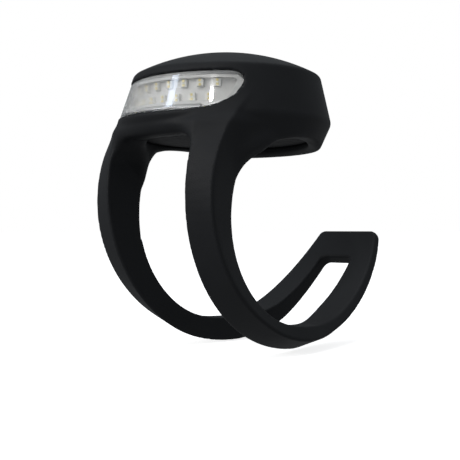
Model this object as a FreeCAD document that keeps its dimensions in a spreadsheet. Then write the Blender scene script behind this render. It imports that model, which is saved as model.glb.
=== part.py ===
import FreeCAD, Part
import math
import os
import re
import Sketcher

# Strap-on silicone bike light: a soft one-piece body whose round head holds a rigid light module
# Frame: origin on the axis of the strap's ring, X towards the strap's open end, Y along the tube, Z up
# Lengths are millimetres, angles are degrees

doc = FreeCAD.newDocument("BikeTailLight")
sheet = doc.addObject("Spreadsheet::Sheet", "Sizes")

SIZES = [
    # ring of the strap, seen along the tube
    ("bore_radius", 14.0),
    ("slot_half", 7.75),
    ("arm_inner_half", 9.95),
    ("arm_crease_half", 11.15),
    ("outer_radius", 20.6),
    ("outer_x", 1.35),
    ("outer_z", 3.2),
    ("crease_front", 5.0),
    ("crease_low", 1.75),
    ("crease_front_angle", 146.0),
    ("crease_low_angle", 244.0),
    ("arm_root_angle", 133.0),
    ("arm_flare_angle", 165.0),
    ("arm_root_half", 11.4),
    ("slot_ceiling", 10.0),
    ("slot_arch", 1.5),
    # tail of the strap and its loop end
    ("tail_low_x", 8.2),
    ("tail_low_z", -15.6),
    ("tail_high_x", 17.4),
    ("tail_high_z", -8.0),
    ("tip_x", 21.3),
    ("tip_z", -1.6),
    ("tail_half", 9.9),
    ("tip_half", 5.55),
    ("tail_slot_half", 4.6),
    ("tip_slot_half", 2.4),
    ("tail_core", 2.4),
    ("tail_edge", 1.15),
    ("tip_core", 1.7),
    ("tip_edge", 0.9),
    ("tip_bar", 5.0),
    ("tip_corner", 1.2),
    ("slot_corner", 0.8),
    # head
    ("head_x", -5.06),
    ("head_forward", 0.5),
    ("base_z", 9.1),
    ("base_radius", 12.65),
    ("waist_z", 12.4),
    ("waist_wall", 3.05),
    ("rim_z", 18.6),
    ("rim_wall", 1.35),
    ("crest_z", 21.75),
    ("skin", 0.8),
    ("saddle_radius", 21.0),
    ("saddle_x", -3.2),
    ("saddle_top", 10.0),
    # window in the head's front and what fills it
    ("window_half", 10.55),
    ("window_low", 12.75),
    ("window_high", 17.55),
    ("window_low_corner", 2.4),
    ("window_high_corner", 1.4),
    ("lens_wall", 0.7),
    ("lens_recess", 0.12),
    ("gasket_width", 0.45),
    ("tray_floor", 0.15),
    ("tray_rim", 0.4),
    ("strip_wall", 0.3),
    ("strip_inset", 0.7),
    ("led_count", 17),
    ("led_pitch", 5.0),
    ("led_middle_z", 15.25),
    ("led_row_gap", 1.7),
    ("led_wide", 0.8),
    ("led_tall", 0.95),
    ("led_thick", 0.5),
    ("dot_side", 0.3),
    ("dot_gap", 0.5),
    ("dot_thick", 0.05),
    # light module
    ("fit", 0.05),
    ("run", 0.1),
    ("cell_radius", 10.0),
    ("cell_tall", 3.2),
    ("cell_gap", 0.05),
    ("housing_wall", 1.0),
    ("deck_wall", 0.4),
    ("deck_hole", 4.0),
    ("groove_depth", 0.5),
    ("cuff_wall", 0.5),
    ("lip_wall", 0.45),
    ("seat_deep", 0.9),
    ("cover_wall", 1.0),
    ("cover_rim", 0.35),
    ("lug_tall", 0.6),
    ("lug_angle", 24.0),
    ("lock_angle", 40.0),
    ("coin_long", 9.0),
    ("coin_wide", 1.8),
    ("coin_deep", 0.6),
    ("seal_wide", 0.4),
    ("cushion_radius", 6.0),
    ("cushion_tall", 0.25),
    ("board_radius", 7.9),
    ("board_wall", 0.5),
    ("lid_wall", 0.35),
    # button, switch and parts on the board
    ("button_radius", 3.5),
    ("button_flange", 0.4),
    ("flange_wall", 0.2),
    ("button_travel", 0.25),
    ("switch_side", 3.6),
    ("switch_tall", 0.7),
    ("plunger_radius", 0.9),
    ("plunger_deep", 0.5),
    ("screw_circle", 6.1),
    ("screw_head_radius", 0.8),
    ("screw_head_tall", 0.4),
    ("screw_radius", 0.45),
    ("chip_side", 3.0),
    ("chip_tall", 0.6),
    ("chip_place", 4.1),
    ("small_long", 1.0),
    ("small_wide", 0.5),
    ("small_tall", 0.35),
    ("block_long", 1.6),
    ("block_wide", 0.8),
    ("block_tall", 0.55),
    ("ribbon_wide", 3.0),
    ("ribbon_wall", 0.15),
    ("contact_wide", 3.0),
    ("contact_wall", 0.2),
]

for row, (alias, number) in enumerate(SIZES, start=1):
    sheet.set("A%d" % row, alias.replace("_", " "))
    sheet.set("B%d" % row, str(number))
    sheet.setAlias("B%d" % row, alias)
doc.recompute()
ALIASES = {alias for alias, number in SIZES}


def formula(text):
    """Give an expression on the size sheet from a sum of size names."""
    def link(match):
        word = match.group(0)
        return "Sizes." + word if word in ALIASES else word
    return re.sub(r"[a-z][a-z_]*", link, str(text))


def value(text):
    """Work out a sum of size names as a plain number."""
    result = sheet.evalExpression(formula(text))
    return float(getattr(result, "Value", result))


def place(obj, x="0", y="0", z="0", turn=None):
    """Bind an object's place, and its turn about Z, to the sheet."""
    for letter, text in zip("xyz", (x, y, z)):
        obj.setExpression(".Placement.Base." + letter, formula(text))
    if turn is not None:
        obj.Placement.Rotation = FreeCAD.Rotation(FreeCAD.Vector(0, 0, 1), 0)
        obj.setExpression(".Placement.Rotation.Angle", formula(turn))
    return obj


# Simple solids

def cylinder(name, radius, height, x="head_x", y="0", z="0", angle=None, turn=None):
    obj = doc.addObject("Part::Cylinder", name)
    obj.setExpression("Radius", formula(radius))
    obj.setExpression("Height", formula(height))
    if angle is not None:
        obj.setExpression("Angle", formula(angle))
    return place(obj, x, y, z, turn)


def block(name, long, wide, tall, x="0", y="0", z="0"):
    """A box centred on x and y that stands on z."""
    obj = doc.addObject("Part::Box", name)
    obj.setExpression("Length", formula(long))
    obj.setExpression("Width", formula(wide))
    obj.setExpression("Height", formula(tall))
    return place(obj, "%s - (%s) / 2" % (x, long), "%s - (%s) / 2" % (y, wide), z)


def cone(name, low_radius, high_radius, height, z, x="head_x"):
    obj = doc.addObject("Part::Cone", name)
    obj.setExpression("Radius1", formula(low_radius))
    obj.setExpression("Radius2", formula(high_radius))
    obj.setExpression("Height", formula(height))
    return place(obj, x, "0", z)


def slanted(name, levels):
    """A solid drawn straight between level circles, each with its centre's x, radius and height."""
    rims = []
    for i, (x, radius, z) in enumerate(levels, start=1):
        rim = doc.addObject("Part::Circle", "%s_rim_%d" % (name, i))
        rim.setExpression("Radius", formula(radius))
        rims.append(place(rim, x, "0", z))
    obj = doc.addObject("Part::Loft", name)
    obj.Sections = rims
    obj.Solid = True
    obj.Ruled = True
    return obj


def ball(name, radius):
    """A sphere about the centre of the head's domed top."""
    obj = doc.addObject("Part::Sphere", name)
    obj.setExpression("Radius", formula(radius))
    return place(obj, "head_x", "0", "crest_z - (%s)" % DOME)


def coded(name, shape):
    """A solid whose outline is worked out below from the sheet."""
    obj = doc.addObject("Part::Feature", name)
    obj.Shape = shape
    return obj


# Joining and cutting

def cut(name, base, tool):
    obj = doc.addObject("Part::Cut", name)
    obj.Base = base
    obj.Tool = tool
    return obj


def fuse(name, pieces):
    obj = doc.addObject("Part::MultiFuse", name)
    obj.Shapes = pieces
    return obj


def common(name, pieces):
    obj = doc.addObject("Part::MultiCommon", name)
    obj.Shapes = pieces
    return obj


def group(name, pieces):
    obj = doc.addObject("Part::Compound", name)
    obj.Links = pieces
    return obj


def carve(name, base, tools):
    """Take one tool after another out of a solid."""
    for i, tool in enumerate(tools, start=1):
        base = cut("%s_cut_%d" % (name, i), base, tool)
    return base


def ring(name, outer, inner, height, z):
    """A flat ring about the head's axis, through a hole that runs past both faces."""
    body = cylinder(name + "_disc", outer, height, z=z)
    hole = cylinder(name + "_hole", inner, "%s + 2" % height, z="%s - 1" % z)
    return cut(name, body, hole)


def turned(name, corners):
    """A piece turned about the head's axis from the corners of its half section."""
    body = doc.addObject("PartDesign::Body", name)
    sketch = body.newObject("Sketcher::SketchObject", name + "_section")
    plane = [part for part in body.Origin.OriginFeatures if part.Role == "XZ_Plane"][0]
    sketch.AttachmentSupport = [(plane, "")]
    sketch.MapMode = "FlatFace"
    points = [FreeCAD.Vector(value(r), value(z), 0) for r, z in corners]
    count = len(points)
    for i in range(count):
        sketch.addGeometry(Part.LineSegment(points[i], points[(i + 1) % count]), False)
    for i in range(count):
        sketch.addConstraint(Sketcher.Constraint("Coincident", i, 2, (i + 1) % count, 1))
    for i, (r, z) in enumerate(corners):
        for kind, text, size in (("DistanceX", r, points[i].x), ("DistanceY", z, points[i].y)):
            if kind == "DistanceX" and text == "0":
                sketch.addConstraint(Sketcher.Constraint("PointOnObject", i, 1, -2))
                continue
            at = sketch.addConstraint(Sketcher.Constraint(kind, -1, 1, i, 1, size))
            sketch.setExpression("Constraints[%d]" % at, formula(text))
    turn = body.newObject("PartDesign::Revolution", name + "_turn")
    turn.Profile = sketch
    turn.ReferenceAxis = (sketch, ["V_Axis"])
    turn.Angle = 360
    body.Tip = turn
    place(body, "head_x")
    return body


# Heights and radii that several pieces share

CELL_BORE = "(cell_radius + run)"
HOUSING_OUT = "(%s + housing_wall)" % CELL_BORE
WAIST = "(%s + waist_wall)" % HOUSING_OUT
RIM = "(%s + rim_wall)" % HOUSING_OUT
# radius of the domed top, through its rim and its crest
DOME = "((%s ^ 2 + (crest_z - rim_z) ^ 2) / (2 * (crest_z - rim_z)))" % RIM
HOUSING_LOW = "(base_z + lip_wall + seat_deep)"
COVER_LOW = "(%s - fit)" % HOUSING_LOW
COVER_TOP = "(%s + cover_wall)" % COVER_LOW
CELL_LOW = "(%s + cushion_tall + cell_gap)" % COVER_TOP
CELL_MID = "(%s + cell_tall)" % CELL_LOW
CELL_TOP = "(%s + cell_tall)" % CELL_MID
DECK_LOW = "(%s + cell_gap)" % CELL_TOP
DECK_TOP = "(%s + deck_wall)" % DECK_LOW
BOARD_TOP = "(%s + board_wall)" % DECK_TOP
SWITCH_TOP = "(%s + switch_tall)" % BOARD_TOP
BUTTON_LOW = "(%s + button_travel)" % SWITCH_TOP
COVER_OUT = "(%s + fit + cover_rim)" % CELL_BORE
MOUTH = "(%s + run)" % COVER_OUT
LUG_OUT = "(%s + groove_depth - run)" % MOUTH
GROOVE = "(%s + groove_depth)" % MOUTH
CUFF_OUT = "(%s + cuff_wall)" % GROOVE
LUG_LOW = "(%s + fit)" % COVER_TOP
LUG_TOP = "(%s + lug_tall)" % LUG_LOW
CUFF_TOP = "(%s + run + cuff_wall)" % LUG_TOP
# the head's side wall leans in from its waist to its rim
LEAN = "((waist_wall - rim_wall) / (rim_z - waist_z))"
MIDWAY = "(0.7 * cell_radius)"
LID_OUT = "(%s - 0.95 * housing_wall)" % HOUSING_OUT


def under_dome(radius, inset):
    """Height at a radius on the domed top drawn in by inset."""
    return "(crest_z - %s + sqrt((%s - (%s)) ^ 2 - (%s) ^ 2))" % (DOME, DOME, inset, radius)


# Strap: cross-sections along one path, round the ring and out along the tail

def smooth(u):
    u = min(max(u, 0.0), 1.0)
    return u * u * (3 - 2 * u)


def blend(a, b, u):
    return a + (b - a) * u


def circle_reach(angle, radius, x, z):
    """Distance from the origin to a circle about x, z, in the direction of angle."""
    along = x * math.cos(angle) + z * math.sin(angle)
    return along + math.sqrt(radius ** 2 - x ** 2 - z ** 2 + along ** 2)


def ring_station(degrees):
    """Inner face point, outward direction and section sizes at an angle on the ring."""
    angle = math.radians(degrees)
    out = (math.cos(angle), math.sin(angle))
    bore = value("bore_radius")
    core = circle_reach(angle, value("outer_radius"), value("outer_x"), value("outer_z")) - bore
    low_angle = value("crease_low_angle")
    toward_front = smooth((low_angle - degrees) / (low_angle - value("crease_front_angle")))
    edge = blend(value("crease_low"), value("crease_front"), toward_front)
    flare_from = value("arm_flare_angle")
    flare = max(0.0, (flare_from - degrees) / (flare_from - value("arm_root_angle")))
    widen = (value("arm_root_half") - value("arm_crease_half")) * flare
    return dict(
        x=bore * out[0], z=bore * out[1], out=out, core=core, edge=edge,
        inner=value("arm_inner_half") + widen, crease=value("arm_crease_half") + widen,
        slot=value("slot_half"))


def tail_station(u):
    """The same on the tail, a cubic curve from the ring's lowest point to the tip."""
    ends = [(0.0, -value("bore_radius")), (value("tail_low_x"), value("tail_low_z")),
            (value("tail_high_x"), value("tail_high_z")), (value("tip_x"), value("tip_z"))]
    weights = [(1 - u) ** 3, 3 * u * (1 - u) ** 2, 3 * u * u * (1 - u), u ** 3]
    slopes = [-(1 - u) ** 2, (1 - u) ** 2 - 2 * u * (1 - u), 2 * u * (1 - u) - u * u, u * u]
    x, z = (sum(w * p[i] for w, p in zip(weights, ends)) for i in (0, 1))
    dx, dz = (sum(w * p[i] for w, p in zip(slopes, ends)) for i in (0, 1))
    length = math.hypot(dx, dz)
    start = ring_station(270.0)
    spread = (1 - u) ** 6
    half = blend(value("tail_half"), value("tip_half"), u ** 2)
    half += (start["crease"] - value("tail_half")) * spread
    slot = (blend(value("tail_slot_half"), value("tip_slot_half"), u)
            + (start["slot"] - value("tail_slot_half")) * spread)
    core = blend(start["core"], blend(value("tail_core"), value("tip_core"), u), smooth(u / 0.7))
    edge = blend(start["edge"], blend(value("tail_edge"), value("tip_edge"), u), smooth(u / 0.25))
    lip = (start["crease"] - start["inner"]) * (1 - 0.7 * u)
    return dict(x=x, z=z, out=(dz / length, -dx / length), core=core, edge=edge,
                inner=half - lip, crease=half, slot=slot)


def station_wire(station, corners):
    """A closed section from pairs of sideways place and height above the inner face."""
    out = station["out"]
    points = [FreeCAD.Vector(station["x"] + up * out[0], side, station["z"] + up * out[1])
              for side, up in corners]
    return Part.makePolygon(points + points[:1])


def band_corners(s):
    right = [(s["inner"], 0.0), (s["crease"], s["edge"]), (s["slot"], s["core"])]
    return right + [(-side, up) for side, up in reversed(right)]


def slot_corners(s):
    low, high = -value("tail_core"), s["core"] + value("tail_core")
    return [(-s["slot"], low), (s["slot"], low), (s["slot"], high), (-s["slot"], high)]


def loft(stations, corners):
    return Part.makeLoft([station_wire(s, corners(s)) for s in stations], True, False)


RING_STEP = 14.0
root_angle = value("arm_root_angle")
ring_count = int(round((270.0 - root_angle) / RING_STEP))
ring_angles = [blend(root_angle, 270.0, i / ring_count) for i in range(ring_count)]
tail_stations = [tail_station(i / 8) for i in range(9)]
band_stations = [ring_station(a) for a in ring_angles] + tail_stations
band = coded("strap_band", loft(band_stations, band_corners))

slot_angles = [blend(180.0, 270.0, i / 6) for i in range(6)]
tail_length = math.hypot(value("tip_x"), value("tip_z") + value("bore_radius"))
slot_end = 1 - value("tip_bar") / tail_length
slot_stations = [ring_station(a) for a in slot_angles]
slot_stations += [tail_station(slot_end * i / 8) for i in range(9)]
slot_shape = loft(slot_stations, slot_corners)
slot_last = slot_stations[-1]


def at_slot_end(edge):
    """True for the two edges of the slot cutter's end that run through the strap."""
    a, b = (v.Point for v in edge.Vertexes)
    middle = (a + b) * 0.5
    out_x, out_z = slot_last["out"]
    reach = (middle.x - slot_last["x"]) * out_z - (middle.z - slot_last["z"]) * out_x
    return abs(reach) < 0.01 and abs(a.y - b.y) < 0.01


slot_ends = [edge for edge in slot_shape.Edges if at_slot_end(edge)]
slot = coded("strap_slot", slot_shape.makeFillet(value("slot_corner"), slot_ends))


def tip_corners():
    """What comes off the two corners of the loop end to round them."""
    tip = tail_stations[-1]
    radius = value("tip_corner")
    frame = FreeCAD.Matrix(-tip["out"][1], 0, tip["out"][0], tip["x"],
                           0, 1, 0, 0,
                           tip["out"][0], 0, tip["out"][1], tip["z"],
                           0, 0, 0, 1)
    deep = 4 * tip["core"]
    pieces = []
    for side in (1, -1):
        middle = FreeCAD.Vector(-radius, side * (tip["crease"] - radius), -deep / 2)
        corner = Part.makeBox(2 * radius, 2 * radius, deep,
                              middle + FreeCAD.Vector(0, 0 if side > 0 else -2 * radius, 0))
        corner = corner.cut(Part.makeCylinder(radius, deep, middle))
        pieces.append(corner.transformGeometry(frame))
    return [coded("tip_corner_%d" % (i + 1), piece) for i, piece in enumerate(pieces)]


# Head of the silicone body


def wall_level(inward, z):
    """Centre, radius and height of a level circle on the head's side wall, drawn in by inward."""
    return ("head_x - head_forward * (rim_z - (%s)) / (rim_z - waist_z)" % z,
            "%s - (%s) - (%s - waist_z) * %s" % (WAIST, inward, z, LEAN), z)


head_side = slanted("head_side", [wall_level("0", "waist_z"), wall_level("0", "crest_z")])
head_top = common("head_top", [head_side, ball("head_dome", DOME)])
head_foot = cone("head_foot", "base_radius", WAIST, "waist_z - base_z", "base_z",
                 x="head_x - head_forward")

saddle = doc.addObject("Part::Cylinder", "saddle_round")
saddle.setExpression("Radius", formula("saddle_radius"))
saddle.setExpression("Height", formula("4 * " + WAIST))
saddle.Placement.Rotation = FreeCAD.Rotation(FreeCAD.Vector(1, 0, 0), 90)
place(saddle, "saddle_x", "2 * " + WAIST, "saddle_top - saddle_radius")
saddle_room = block("saddle_room", "2 * " + WAIST, "4 * " + WAIST, "saddle_top - base_z + 1",
                    x="head_x", z="base_z - 1 + 0.8")
saddle_cut = common("saddle_cut", [saddle, saddle_room])


# Rounded outlines seen from the front: the window in the head and the top of the gap between the arms

def rounded_prism(name, half, low, high, low_corner, high_corner, x_from, x_to):
    """A bar along X whose section is a rectangle with rounded lower and upper corners."""
    quarter = math.sqrt(0.5)

    def at(y, z):
        return FreeCAD.Vector(x_from, y, z)

    def corner(cy, cz, radius, side, up):
        middle = at(cy + side * radius * quarter, cz + up * radius * quarter)
        return Part.Arc(at(cy + side * radius, cz), middle, at(cy, cz + up * radius)).toShape()

    edges = [
        Part.makeLine(at(low_corner - half, low), at(half - low_corner, low)),
        Part.makeLine(at(high_corner - half, high), at(half - high_corner, high))]
    for side in (1, -1):
        edges.append(Part.makeLine(at(side * half, low + low_corner), at(side * half, high - high_corner)))
        edges.append(corner(side * (half - low_corner), low + low_corner, low_corner, side, -1))
        edges.append(corner(side * (half - high_corner), high - high_corner, high_corner, side, 1))
    wire = Part.Wire(Part.__sortEdges__(edges))
    return coded(name, Part.Face(wire).extrude(FreeCAD.Vector(x_to - x_from, 0, 0)))


def window_prism(name, inset):
    """The window's outline, drawn in by inset, carried back from the front through the head."""
    return rounded_prism(
        name, value("window_half") - inset, value("window_low") + inset, value("window_high") - inset,
        max(value("window_low_corner") - inset, 0.2), max(value("window_high_corner") - inset, 0.2),
        value("head_x") - 2 * value(WAIST), value("head_x"))


slot_front = rounded_prism("slot_front", value("slot_half"), -0.5 * value("base_z"), value("slot_ceiling"),
                           0.2, value("slot_arch"), -2 * value("outer_radius"), -0.5 * value("bore_radius"))

window = window_prism("window_shape", 0.0)
window_room = carve("window_room", window, [
    cylinder("window_core", HOUSING_OUT, "rim_z", z="base_z")])


def wall_band(name, inward, low="window_low - 1", high="window_high + 1"):
    """The solid inside the head's leaning side wall, drawn in by inward."""
    return slanted(name, [wall_level(inward, low), wall_level(inward, high)])


# Module: rigid capsule that is pushed up into the head

housing_shape = turned("housing_shape", [
    (MOUTH, HOUSING_LOW),
    (CUFF_OUT, HOUSING_LOW),
    (CUFF_OUT, CUFF_TOP),
    (HOUSING_OUT, CUFF_TOP),
    (HOUSING_OUT, "%s - housing_wall" % DECK_TOP),
    ("%s - 0.9 * housing_wall" % HOUSING_OUT, DECK_TOP),
    ("deck_hole", DECK_TOP),
    ("deck_hole", DECK_LOW),
    (CELL_BORE, DECK_LOW),
    (CELL_BORE, "%s + run" % LUG_TOP),
    (GROOVE, "%s + run" % LUG_TOP),
    (GROOVE, "%s - run" % LUG_LOW),
    (MOUTH, "%s - run" % LUG_LOW)])


def sectors(name, radius, height, z, angle, turn):
    """Three slices of a disc about the head's axis, each centred a third of a turn apart."""
    pieces = []
    for i in range(3):
        start = "%d + %s - (%s) / 2" % (120 * i, turn, angle)
        pieces.append(cylinder("%s_%d" % (name, i + 1), radius, height, z=z, angle=angle, turn=start))
    return pieces


FRONT_X = "(head_x - %s)" % HOUSING_OUT
REAR_X = "(head_x + %s)" % CELL_BORE
STRIP_IN = "(%s + fit)" % HOUSING_OUT
STRIP_OUT = "(%s + strip_wall)" % STRIP_IN
TRAY_IN = "(%s + fit)" % STRIP_OUT

notches = sectors("lug_notch", GROOVE, "%s + 1 - %s" % (LUG_LOW, HOUSING_LOW), "%s - 1" % HOUSING_LOW,
                  "lug_angle + 6", "lock_angle")
screw_places = []
for i in range(3):
    bearing = "(60 + 120 * %d)" % i
    screw_places.append(("head_x + screw_circle * cos(%s)" % bearing, "screw_circle * sin(%s)" % bearing))


def screw_holes(name, radius):
    return [cylinder("%s_%d" % (name, i + 1), radius, "2 * cell_tall", x=x, y=y, z=CELL_MID)
            for i, (x, y) in enumerate(screw_places)]


ribbon_channel = block("ribbon_channel", "%s - cell_radius / 2" % HOUSING_OUT, "ribbon_wide + run",
                       "2 * ribbon_wall + run", x="(%s + head_x - cell_radius / 2) / 2" % FRONT_X,
                       z="%s - ribbon_wall - fit" % DECK_TOP)
contact_channel = block("contact_channel", "contact_wall + 2 * run", "contact_wide + run",
                        "%s - %s" % (DECK_TOP, LUG_TOP), x="%s + contact_wall / 2" % REAR_X,
                        z="%s + lug_tall - contact_wall" % LUG_TOP)
contact_shelf = block("contact_shelf", "cell_radius / 2", "contact_wide + run", "1",
                      x="%s + contact_wall + run - cell_radius / 4" % REAR_X,
                      z="%s - contact_wall" % DECK_TOP)
module_housing = carve("housing", housing_shape, notches + screw_holes("deck_screw_hole", "screw_radius")
                       + [ribbon_channel, contact_channel, contact_shelf])

# Cover: a cup that turns under the housing's cuff and is opened with a coin
cover_disc = cylinder("cover_disc", COVER_OUT, "cover_wall + fit + lug_tall", z=COVER_LOW)
lugs = sectors("cover_lug", LUG_OUT, "lug_tall", LUG_LOW, "lug_angle", "0")
cover_solid = fuse("cover_solid", [cover_disc] + lugs)
cover_cup = cylinder("cover_cup", "%s + fit" % CELL_BORE, "3 * lug_tall", z=COVER_TOP)
coin_slot = block("coin_slot", "coin_long", "coin_wide", "1 + coin_deep", x="head_x",
                  z="%s - 1" % COVER_LOW)
seal_groove = ring("seal_groove", "cuff_wall + " + COVER_OUT, "%s - seal_wide" % COVER_OUT,
                   "seal_wide", "%s + 0.3 * cover_wall" % COVER_LOW)
battery_cover = carve("cover", cover_solid, [cover_cup, coin_slot, seal_groove])
cover_seal = ring("seal", "%s + run - fit / 2" % COVER_OUT, "%s - seal_wide + fit / 2" % COVER_OUT,
                  "seal_wide - fit", "%s + 0.3 * cover_wall + fit / 2" % COVER_LOW)
cell_cushion = cylinder("cushion", "cushion_radius", "cushion_tall", z=COVER_TOP)


def coin_cell(name, z):
    """A coin cell: a wide can with a narrower cap that faces up."""
    edge = "(0.02 * cell_radius)"
    cap = "(0.12 * cell_tall)"
    return turned(name, [
        ("0", z),
        ("cell_radius - " + edge, z),
        ("cell_radius", "%s + %s" % (z, edge)),
        ("cell_radius", "%s + cell_tall - %s" % (z, cap)),
        ("cell_radius - " + edge, "%s + cell_tall - %s" % (z, cap)),
        ("0.9 * cell_radius", "%s + cell_tall" % z),
        ("0", "%s + cell_tall" % z)])


cell_lower = coin_cell("lower_cell", CELL_LOW)
cell_upper = coin_cell("upper_cell", CELL_MID)

# Contacts
spring_plate = cylinder("spring_plate", "deck_hole - 3 * run", "contact_wall",
                        z="%s - contact_wall" % DECK_TOP)
spring_dimple = cone("spring_dimple", "deck_hole / 4", "deck_hole / 2",
                     "%s - contact_wall - %s" % (DECK_TOP, CELL_TOP), CELL_TOP)
negative_contact = fuse("negative", [spring_plate, spring_dimple])
riser_low = "(%s + lug_tall)" % LUG_TOP
riser = block("contact_riser", "contact_wall", "contact_wide", "%s - %s" % (DECK_TOP, riser_low),
              x="%s + run + contact_wall / 2 - fit" % REAR_X, z=riser_low)
riser_tab = block("contact_tab", "cell_radius / 4 + fit", "contact_wide", "contact_wall - fit",
                  x="%s + run + contact_wall - fit - (cell_radius / 4 + fit) / 2" % REAR_X,
                  z="%s - contact_wall + fit" % DECK_TOP)
touch = block("contact_touch", "2 * run", "contact_wide / 2", "cell_tall / 3",
              x="%s + fit" % REAR_X, z="%s + contact_wall" % riser_low)
positive_contact = fuse("positive", [riser, riser_tab, touch])

# Main board with its parts
board_disc = cylinder("board_disc", "board_radius", "board_wall", z=DECK_TOP)
main_board = carve("board", board_disc, screw_holes("board_screw_hole", "screw_radius + fit"))


def screw(i, x, y):
    shank = cylinder("screw_shank_%d" % i, "screw_radius - fit / 2", "board_wall + deck_wall",
                     x=x, y=y, z="%s - deck_wall" % DECK_TOP)
    head = cylinder("screw_head_%d" % i, "screw_head_radius", "screw_head_tall", x=x, y=y, z=BOARD_TOP)
    cross = block("screw_slot_%d" % i, "2 * screw_head_radius", "0.25 * screw_head_radius",
                  "screw_head_tall", x=x, y=y, z="%s + 0.6 * screw_head_tall" % BOARD_TOP)
    return cut("screw_%d" % i, fuse("screw_solid_%d" % i, [shank, head]), cross)


board_screws = group("screws", [screw(i + 1, x, y) for i, (x, y) in enumerate(screw_places)])
driver_chip = block("chip", "chip_side", "chip_side", "chip_tall", x="head_x + chip_place", z=BOARD_TOP)
resistors = group("resistor_group", [
    block("resistor_%d" % (i + 1), "small_long", "small_wide", "small_tall",
          x="head_x - chip_place", y="%d * 2 * small_wide" % step, z=BOARD_TOP)
    for i, step in enumerate((-2, -1, 1, 2))])
capacitors = group("capacitor_group", [
    block("capacitor_%d" % (i + 1), "block_long", "block_wide", "block_tall",
          x="head_x", y="%d * chip_place" % side, z=BOARD_TOP)
    for i, side in enumerate((-1, 1))])

# Switch and button
switch_base = block("switch_base", "switch_side", "switch_side", "switch_tall", x="head_x", z=BOARD_TOP)
switch_well = cylinder("switch_well", "plunger_radius + fit", "plunger_deep + button_travel + 1",
                       z="%s - plunger_deep" % SWITCH_TOP)
switch_body = cut("switch", switch_base, switch_well)
switch_plunger = cylinder("plunger", "plunger_radius", "plunger_deep",
                          z="%s - plunger_deep" % BUTTON_LOW)
push_button = turned("button", [
    ("0", BUTTON_LOW),
    ("button_radius + button_flange", BUTTON_LOW),
    ("button_radius + button_flange", "%s + flange_wall" % BUTTON_LOW),
    ("button_radius", "%s + flange_wall" % BUTTON_LOW),
    ("button_radius", under_dome("button_radius", "skin + run")),
    ("0", under_dome("0", "skin + run"))])

# Lid: a low shell over the board that follows the domed top, with the button's hole
button_port = "(button_radius + run)"
lid_foot = "(%s - 1.5 * lid_wall)" % LID_OUT
module_lid = turned("lid", [
    (lid_foot, DECK_TOP),
    (LID_OUT, DECK_TOP),
    (LID_OUT, under_dome(LID_OUT, "skin + 3 * fit")),
    (MIDWAY, under_dome(MIDWAY, "skin + fit")),
    (button_port, under_dome(button_port, "skin + fit")),
    (button_port, under_dome(button_port, "skin + fit + lid_wall")),
    (MIDWAY, under_dome(MIDWAY, "skin + fit + lid_wall"))])

# Front of the head, from the lens inwards
lens = common("lens_piece", [
    cut("lens_wall_band", wall_band("lens_front", "lens_recess"),
        wall_band("lens_back", "lens_recess + lens_wall", "window_low - 2", "window_high + 2")),
    window_prism("lens_outline", value("fit"))])
bay = cut("front_bay", wall_band("bay_outside", "lens_recess + lens_wall + fit / 2"),
          cylinder("bay_inside", TRAY_IN, "crest_z", z="base_z"))
seal_ring = cut("gasket_frame", window_prism("gasket_outside", value("fit")),
                window_prism("gasket_inside", value("fit") + value("gasket_width")))
lens_gasket = common("gasket", [bay, seal_ring])
tray_inset = value("fit") * 2 + value("gasket_width")
tray_solid = common("tray_solid", [bay, window_prism("tray_outline", tray_inset)])
scoop_shape = window_prism("tray_scoop_outline", tray_inset + value("tray_rim"))
tray_scoop = carve("tray_scoop", scoop_shape, [
    cylinder("tray_floor_round", "%s + tray_floor" % TRAY_IN, "crest_z", z="base_z")])

strip_room = ring("strip_round", STRIP_OUT, STRIP_IN, "crest_z - base_z", "base_z")
led_strip = common("strip", [strip_room, window_prism("strip_outline", value("strip_inset"))])

led_count = int(value("led_count"))
led_angles = [value("led_pitch") * (i - (led_count - 1) / 2) for i in range(led_count)]


def round_front(name, deep, wide, tall, distance, raised=0.0):
    """One small block per light, spaced round the front of the head in an upper and a lower row."""
    pieces = []
    for i, angle in enumerate(led_angles):
        row_z = value("led_middle_z") + value("led_row_gap") * (0.5 - i % 2)
        shape = Part.makeBox(deep, wide, tall, FreeCAD.Vector(distance, -wide / 2, raised - tall / 2))
        shape.rotate(FreeCAD.Vector(), FreeCAD.Vector(0, 0, 1), 180 + angle)
        shape.translate(FreeCAD.Vector(value("head_x"), 0, row_z))
        pieces.append(coded("%s_%d" % (name, i + 1), shape))
    return pieces


led_back = value(STRIP_OUT) + value("fit") / 2
led_list = round_front("led", value("led_thick"), value("led_wide"), value("led_tall"), led_back)
leds = group("led_group", led_list)
led_ports = round_front("led_port", value("led_thick") * 4, value("led_wide") + value("run"),
                        value("led_tall") + value("run"), led_back - value("led_thick"))
reflector_tray = carve("tray", tray_solid, [tray_scoop] + led_ports)

dot_side = value("dot_side")
dot_list = []
for name, side in (("upper_dot", 1), ("lower_dot", -1)):
    dot_list += round_front(name, value("dot_thick"), dot_side, dot_side, led_back + value("led_thick"),
                            side * value("dot_gap") / 2)
phosphor_dots = group("dot_group", dot_list)

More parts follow.
